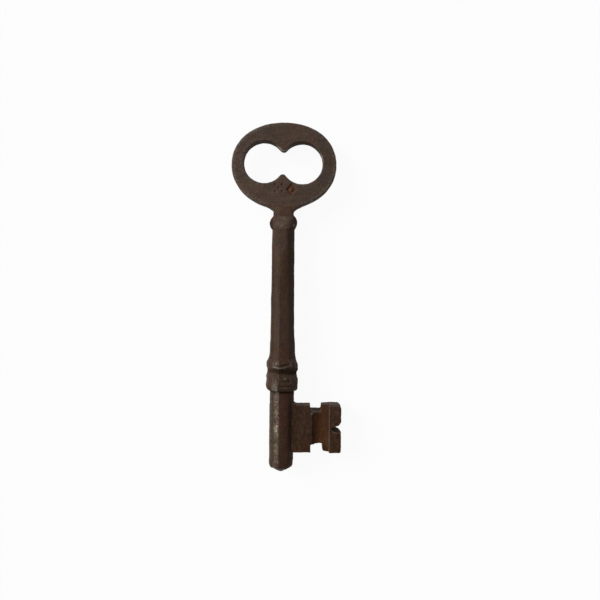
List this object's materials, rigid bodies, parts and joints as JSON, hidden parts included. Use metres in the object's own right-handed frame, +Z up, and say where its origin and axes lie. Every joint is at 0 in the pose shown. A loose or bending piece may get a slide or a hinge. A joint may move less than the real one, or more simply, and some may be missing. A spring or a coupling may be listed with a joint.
{
  "type": "skeleton key",
  "caption": "Old iron skeleton key with a flat oval bow, two-lobed eye, ball knop, tapered faceted shank, beaded collar and a warded bit.",
  "frame": {"origin": "under the middle of the key's bounding box, on the surface that the key lies on", "axes": "+Y up the stem to the bow, +X out along the bit, +Z up, away from the surface"},
  "size_m": [0.0368, 0.1146, 0.0106],
  "materials": {
    "bow_iron": "dark brown oxide with fine casting grain, rubbed lighter along the edges",
    "knop_iron": "dark brown oxide, rubbed a little brighter on the crown",
    "shank_iron": "dark red-brown oxide, satin, file flats still showing",
    "collar_iron": "dark brown oxide, dented, with worn bright patches",
    "worn_post_iron": "dark brown oxide with a worn bright streak along one edge",
    "rusted_bit_iron": "dry orange-brown rust in the cuts, darker on the raised faces"
  },
  "bodies": {
    "root": {"bow": "bow_iron", "knop": "knop_iron", "shank": "shank_iron", "collar_bead": "collar_iron", "collar_band": "collar_iron", "post": "worn_post_iron", "bit": "rusted_bit_iron"}
  },
  "joints": []
}
